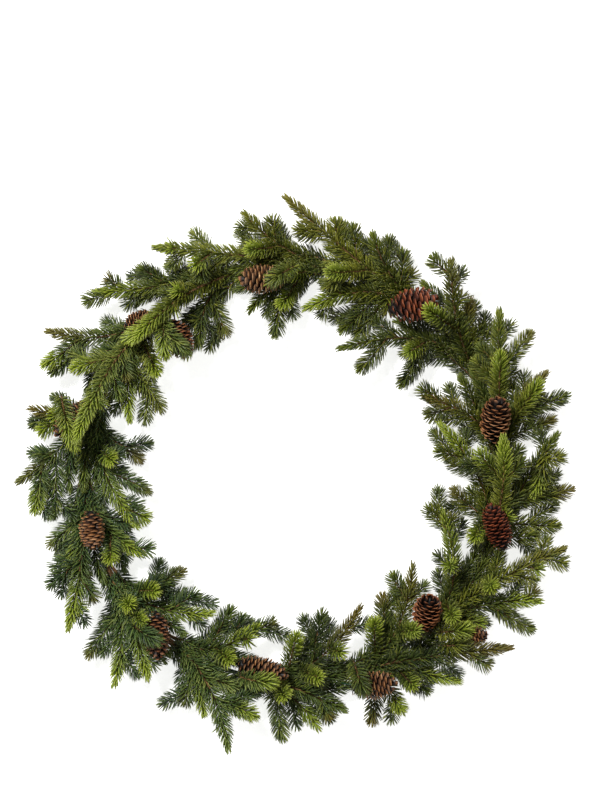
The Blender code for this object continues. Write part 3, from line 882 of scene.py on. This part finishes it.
# %% One scale's pattern
SCALE_ACROSS = np.linspace(-1, 1, 5)
SCALE_ALONG = np.array((0.0, 0.3, 0.55, 0.78, 0.92, 1.0))
SCALE_OUTLINE = np.array((0.50, 0.78, 0.98, 1.0, 0.84, 0.52))   # half-width along the scale


def scale_pattern():
    """Top and bottom grids of a scale: (across, along, out) for each point, and the faces."""
    across = SCALE_OUTLINE[:, None] * SCALE_ACROSS[None, :]
    along = np.repeat(SCALE_ALONG[:, None], len(SCALE_ACROSS), axis=1)
    crown = -0.20 * across**2 + 0.16 * along**3
    ridge = 0.06 * np.exp(-(SCALE_ACROSS[None, :] / 0.35) ** 2) * SCALE_ALONG[:, None]
    thick = (0.05 + 0.06 * SCALE_ALONG**2)[:, None] * (1 - 0.45 * SCALE_ACROSS[None, :] ** 2)
    top = np.stack((across, along, crown + ridge), axis=2).reshape(-1, 3)
    bottom = np.stack((across, along, crown - thick), axis=2).reshape(-1, 3)
    rows, columns = along.shape
    under = rows * columns
    faces = []
    for r in range(rows - 1):
        for c in range(columns - 1):
            a, b = r * columns + c, (r + 1) * columns + c
            faces.append((a, a + 1, b + 1, b))
            faces.append((under + a, under + b, under + b + 1, under + a + 1))
    rim = list(range(columns)) + [r * columns + columns - 1 for r in range(1, rows)]
    rim += [(rows - 1) * columns + c for c in range(columns - 2, -1, -1)]
    rim += [r * columns for r in range(rows - 2, 0, -1)]
    for here, follow in zip(rim, rim[1:] + rim[:1]):
        faces.append((follow, here, under + here, under + follow))
    return np.vstack((top, bottom)), faces


SCALE_POINTS, SCALE_FACES = scale_pattern()
print("one scale:", len(SCALE_POINTS), "points,", len(SCALE_FACES), "faces")

# %% [markdown]
# The outline of a cone is an egg, widest a little below its middle. Scales are spaced by
# the area they have to cover, so that they are small and tight at the tip. Those near the
# stalk stand off more.


# %% Building a cone
CONE_SWELL = 0.42
STAND_PLACES = (0, 0.15, 0.6, 0.85, 1)
STAND_ANGLES = (82, 60, 42, 20, -22)    # degrees that a scale stands off the axis
SCALE_OVERLAP = 1.30    # half-width of a scale over the room that the spiral gives it
CONE_SLACK = 0.95       # of the solid's width, since scales stand off beyond the core
LENGTH_PLACES, LENGTHS = (0, 0.12, 0.5, 0.85, 1), (0.22, 0.34, 0.38, 0.30, 0.17)    # of a scale
ROOT_PLACES, ROOTS = (0, 0.5, 1), (0.35, 0.6, 1.0)      # how far behind its lip it is rooted


def cone_radius(width, share):
    swell = np.where(share < CONE_SWELL, share / CONE_SWELL, (1 - share) / (1 - CONE_SWELL))
    return width / 2 * np.sqrt(np.maximum(0.0, 1 - (1 - swell) ** 2.2))


def scales_on(stalk, tip, width, count, chance):
    """Points of every scale of a cone."""
    axis = tip - stalk
    long = np.linalg.norm(axis)
    axis = axis / long
    first = np.cross(axis, (0.31, 0.17, 0.93))
    first /= np.linalg.norm(first)
    second = np.cross(axis, first)
    fine = np.linspace(0.015, 0.992, 200)
    area = np.cumsum(cone_radius(width, fine) ** 0.75)
    place = np.interp((np.arange(count) + 0.5) / count * area[-1], area, fine)
    turn = np.arange(count) * GOLDEN_ANGLE + chance.normal(0, 0.06, count)
    radial = first * np.cos(turn)[:, None] + second * np.sin(turn)[:, None]
    around = np.cross(axis, radial)
    outer = cone_radius(CONE_SLACK * width, place) * chance.uniform(0.96, 1.05, count)
    outer *= np.interp(place, (0.88, 1), (1, 0.3))
    stand = np.radians(np.interp(place, STAND_PLACES, STAND_ANGLES) + chance.normal(0, 4.0, count))
    reach = width * np.interp(place, LENGTH_PLACES, LENGTHS)
    ahead = axis * np.cos(stand)[:, None] + radial * np.sin(stand)[:, None]
    out = radial * np.cos(stand)[:, None] - axis * np.sin(stand)[:, None]
    behind = reach * np.cos(stand) * np.interp(place, ROOT_PLACES, ROOTS)
    inner = np.maximum(outer - reach * np.sin(stand), 0.0)
    root = stalk + axis * (place * long - behind)[:, None] + radial * inner[:, None]
    half = SCALE_OVERLAP * np.maximum(outer, 0.24 * width) * math.sqrt(2 * math.pi / count)
    half *= chance.uniform(0.88, 1.08, count)
    points = root[:, None] + around[:, None] * (SCALE_POINTS[:, 0] * half[:, None])[..., None]
    points = points + ahead[:, None] * (SCALE_POINTS[:, 1] * reach[:, None])[..., None]
    return points + out[:, None] * (SCALE_POINTS[:, 2] * 1.6 * half[:, None])[..., None]


# %% [markdown]
# A cone scale is thin dry wood, grown and left as it is, so it is matt with fine streaks. It runs
# from dark brown at its root to tan at its lip.
# It is painted nearly black deep in the cone, as painted shade where the scales cover each other,
# and light at the lip, as a painted highlight.
# A few scales are paler, and some cones are redder than others.


# %% Scale material
# Stops from a scale's root to its lip: the near-black ones are painted shade between the scales,
# and the brightest is a painted highlight on the lip.
WOOD_SHADE_AND_HIGHLIGHT = ((0.0, "#0a0503"), (0.52, "#241208"), (0.74, "#683f1e"), (0.88, "#ac733c"), (1.0, "#dfb07a"))
STAIN = ((0.3, "#8a8078"), (0.7, "#ffffff"))
STAINS = 210.0                      # in a metre, so each is about 5 mm across
STREAKS, STREAK_DEPTH = 900.0, 0.3 * MM     # in a metre, so they lie about 1.1 mm apart


def make_scale_material():
    made, tree, shader = new_material("dry_cone_scale")
    look = {}
    for name in ("lip", "pale", "warm"):
        look[name] = add(tree, "ShaderNodeAttribute", {"attribute_name": name}).outputs["Fac"]
    place = add(tree, "ShaderNodeTexCoord").outputs["Object"]
    wood = add(tree, "ShaderNodeValToRGB", {"stops": WOOD_SHADE_AND_HIGHLIGHT}, Fac=look["lip"]).outputs["Color"]
    stains = add(tree, "ShaderNodeTexNoise", Vector=place, Scale=STAINS, Detail=4.0).outputs["Fac"]
    shade = add(tree, "ShaderNodeValToRGB", {"stops": STAIN}, Fac=stains).outputs["Color"]
    wood = add(tree, "ShaderNodeMix", MULTIPLY, i0=0.8, i6=wood, i7=shade).outputs[2]
    tan, red = linear("#c9a27c"), linear("#d8927a")
    wood = add(tree, "ShaderNodeMix", MIX, i0=look["pale"], i6=wood, i7=tan).outputs[2]
    wood = add(tree, "ShaderNodeMix", MULTIPLY, i0=look["warm"], i6=wood, i7=red).outputs[2]
    tree.links.new(wood, shader.inputs["Base Color"])
    streaks = add(tree, "ShaderNodeTexNoise", Vector=place, Scale=STREAKS, Detail=3.0)
    streaks = streaks.outputs["Fac"]
    bump = add(tree, "ShaderNodeBump", Strength=0.35, Distance=STREAK_DEPTH, Height=streaks)
    tree.links.new(bump.outputs["Normal"], shader.inputs["Normal"])
    shader.inputs["Roughness"].default_value = 0.58
    return made


scale_finish = make_scale_material()

# %% [markdown]
# Each cone is carried by a short green florist's wire, whose route is read from the solid:
# its lowest corners are the wire's foot beside the ring, and the next ones its knee. The
# wire is steel, dipped in green enamel paint, which leaves it smooth and half glossy.


# %% Making the cones
WIRE = 0.8 * MM
KNEE_HEIGHTS = (6.5 * MM, 10 * MM)  # between which the wire's knee lies
CORE_SIDES, CORE_RINGS = 10, 12
CORE_PLACES, CORE_SHARES = (0.55, 0.9), (0.45, 0.12)    # of the cone's radius, towards its tip
HOLD = 0.3                          # share of a cone's length at which the wire holds it
CONE_LOOKS = (      # warmth, number of scales, and which way round the cone hangs
    (0.0, 72, -1), (0.9, 78, 1), (0.35, 92, 1), (1.0, 120, -1), (0.6, 96, 1), (0.2, 90, 1),
    (0.1, 80, 1), (0.1, 96, 1), (0.4, 92, 1), (0.1, 84, 1), (0.2, 84, 1), (0.5, 90, 1),
    (0.2, 80, 1),
)
PAINT = ((0.35, "#1f3a26"), (0.65, "#2d5034"))
PAINT_PATCHES = 120.0               # in a metre, so each is about 8 mm long


def make_wire_material():
    made, tree, shader = new_material("green_painted_wire")
    place = add(tree, "ShaderNodeTexCoord").outputs["Object"]
    wear = add(tree, "ShaderNodeTexNoise", Vector=place, Scale=PAINT_PATCHES, Detail=3.0)
    wear = wear.outputs["Fac"]
    paint = add(tree, "ShaderNodeValToRGB", {"stops": PAINT}, Fac=wear).outputs["Color"]
    tree.links.new(paint, shader.inputs["Base Color"])
    shader.inputs["Roughness"].default_value = 0.42
    return made


wire_finish = make_wire_material()


def cone_wire(node, hold):
    """The wire's centre line from inside the cone to its foot."""
    points = solid_points(node)
    heights = np.unique(points[:, 2].round(5))
    foot = points[points[:, 2] < heights[0] + 0.2 * MM].mean(axis=0)
    knee = points[(points[:, 2] > KNEE_HEIGHTS[0]) & (points[:, 2] < KNEE_HEIGHTS[1])].mean(axis=0)
    above, over = knee + 0.4 * (hold - knee), knee + 0.12 * (hold - knee)
    return np.array([hold, above, over, knee - (0, 0, 1 * MM), foot])


def make_cones():
    chance = np.random.default_rng(7)
    each, drawn = len(SCALE_POINTS), 0
    for number, (cone, (warmth, count, hand)) in enumerate(zip(CONES, CONE_LOOKS), 1):
        node = f"cone_{number:02d}"
        stalk, tip = cone_ends(cone)
        wire = cone_wire(node, stalk + HOLD * (tip - stalk))
        stalk, tip = (stalk, tip)[::hand]
        scales = scales_on(stalk, tip, cone[3] * MM, count, chance)
        # A scale's share from root to lip picks its colour: painted shade at the root and a painted
        # highlight at the lip.
        lips = SCALE_POINTS[:, 1] * chance.uniform(0.86, 1.0, (count, 1))
        pale = (chance.uniform(0, 1, count) ** 3)[:, None] * np.clip(SCALE_POINTS[:, 1] - 0.6, 0, 1)
        faces = [[index + k * each for index in face] for k in range(count) for face in SCALE_FACES]
        shares = np.linspace(0.04, 0.9, CORE_RINGS)
        girth = cone_radius(cone[3] * MM, shares) * np.interp(shares, CORE_PLACES, CORE_SHARES)
        core = tube_rings(stalk + shares[:, None] * (tip - stalk), girth, CORE_SIDES)
        faces += tube_faces(len(shares), CORE_SIDES, count * each)
        scaly = len(faces)
        faces += tube_faces(len(wire), CORE_SIDES, count * each + len(shares) * CORE_SIDES)
        wired = tube_rings(wire, np.full(len(wire), WIRE), CORE_SIDES)
        total = np.concatenate([block.reshape(-1, 3) for block in (scales, core, wired)])
        # The core takes the ramp's first, near-black stop, which is painted shade.
        plain = np.zeros(len(total) - count * each)
        looks = {
            "lip": np.concatenate((lips.ravel(), plain)),
            "pale": np.concatenate((pale.ravel(), plain)),
            "warm": np.full(len(total), warmth),
        }
        slots = [0] * scaly + [1] * (len(faces) - scaly)
        finishes = [scale_finish, wire_finish]
        make_piece(f"{node}_scales", total, faces, finishes, [node], looks, slots)
        drawn += count
    print("cones:", len(CONES), "with", drawn, "scales")


make_cones()

# %% [markdown]
# ## The ring
#
# The clamp ring is a hoop of green painted wire. At every clamp a pair of thinner prongs is
# welded to it and bent over the stems.

# %% The ring
RING_STEPS, RING_SIDES, PRONG_SIDES = 252, 12, 8
PRONG_SHIFT = 0.7                   # degrees past the clamp's clock angle
PRONG_ROUTE = (     # angle round the ring's wire, and millimetres from its middle
    (-14, 1.3), (-4, 7.0), (15, 7.4), (30, 7.75), (44, 7.75), (58, 7.75), (72, 7.75), (86, 7.6),
)


def make_ring():
    clocks = np.arange(RING_STEPS) * 360.0 / RING_STEPS
    turns = np.arange(RING_SIDES) * 2 * math.pi / RING_SIDES
    points, faces = [], []
    for clock in clocks:
        for turn in turns:
            reach = RING_RADIUS + RING_WIRE * math.cos(turn)
            points.append(polar(clock, reach, RING_WIRE + RING_WIRE * math.sin(turn)))
    for r in range(RING_STEPS):
        for k in range(RING_SIDES):
            low, high = r * RING_SIDES, (r + 1) % RING_STEPS * RING_SIDES
            follow = (k + 1) % RING_SIDES
            faces.append((low + k, high + k, high + follow, low + follow))
    for clamp in range(CLAMPS):
        for side in (0, 1):
            clock = 360.0 * clamp / CLAMPS + PRONG_SHIFT
            route = [(180 - angle if side else angle, away * MM) for angle, away in PRONG_ROUTE]
            line = np.array([beside_ring(clock, angle, away) for angle, away in route])
            start = len(points)
            rings = tube_rings(line, np.full(len(line), WIRE), PRONG_SIDES)
            points += rings.reshape(-1, 3).tolist()
            faces += tube_faces(len(line), PRONG_SIDES, start)
    make_piece("ring_and_prongs", np.array(points), faces, [wire_finish], ["ring"])


make_ring()

# %% [markdown]
# ## The finished scene
#
# The last line brings the scene up to date and hands it over.

# %% Finish
bpy.context.view_layer.update()
